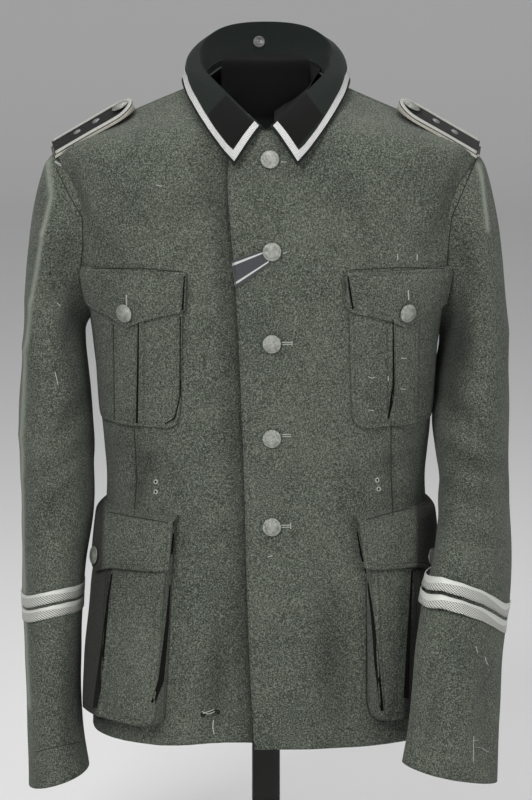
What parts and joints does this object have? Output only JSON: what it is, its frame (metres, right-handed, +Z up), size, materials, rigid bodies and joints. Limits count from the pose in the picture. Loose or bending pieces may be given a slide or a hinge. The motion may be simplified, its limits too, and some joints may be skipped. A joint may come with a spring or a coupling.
{
  "type": "military field jacket on a limbless dress form stand",
  "caption": "Grey-green wool field jacket with pleated patch pockets, bellows hip pockets and braided cuffs, on a dress form stand.",
  "frame": {"origin": "middle of the base's underside", "axes": "+Z up, the jacket's front faces -Y, +X to the wearer's left"},
  "size_m": [0.5163, 0.3752, 0.897],
  "materials": {
    "wool": "heathered grey-green felted wool, matt",
    "collar_cloth": "dark green short-nap badge cloth",
    "silver_braid": "woven silver-grey braid",
    "button_metal": "pebbled field-grey painted metal, worn",
    "ribbon_silk": "ribbed silk with lengthwise stripes",
    "form_cover": "matt black stretched jersey",
    "stand_metal": "dark satin paint"
  },
  "bodies": {
    "root": {"back": "wool", "base": "stand_metal", "board_braid_left": "silver_braid", "board_braid_right": "silver_braid", "board_button_left": "button_metal", "board_button_right": "button_metal", "chest_button_left": "button_metal", "chest_button_right": "button_metal", "chest_flap_left": "wool", "chest_flap_right": "wool", "chest_pocket_left": "wool", "chest_pocket_right": "wool", "collar": "collar_cloth", "cuff_band_left_1": "silver_braid", "cuff_band_left_2": "silver_braid", "cuff_band_right_1": "silver_braid", "cuff_band_right_2": "silver_braid", "dress_form": "form_cover", "front_button_1": "button_metal", "front_button_2": "button_metal", "front_button_3": "button_metal", "front_button_4": "button_metal", "front_button_5": "button_metal", "front_left": "wool", "front_right": "wool", "hip_button_left": "button_metal", "hip_button_right": "button_metal", "hip_flap_left": "wool", "hip_flap_right": "wool", "hip_pocket_left": "wool", "hip_pocket_right": "wool", "pole": "stand_metal", "ribbon": "ribbon_silk", "shoulder_board_left": "collar_cloth", "shoulder_board_right": "collar_cloth", "sleeve_left": "wool", "sleeve_right": "wool"}
  },
  "joints": []
}
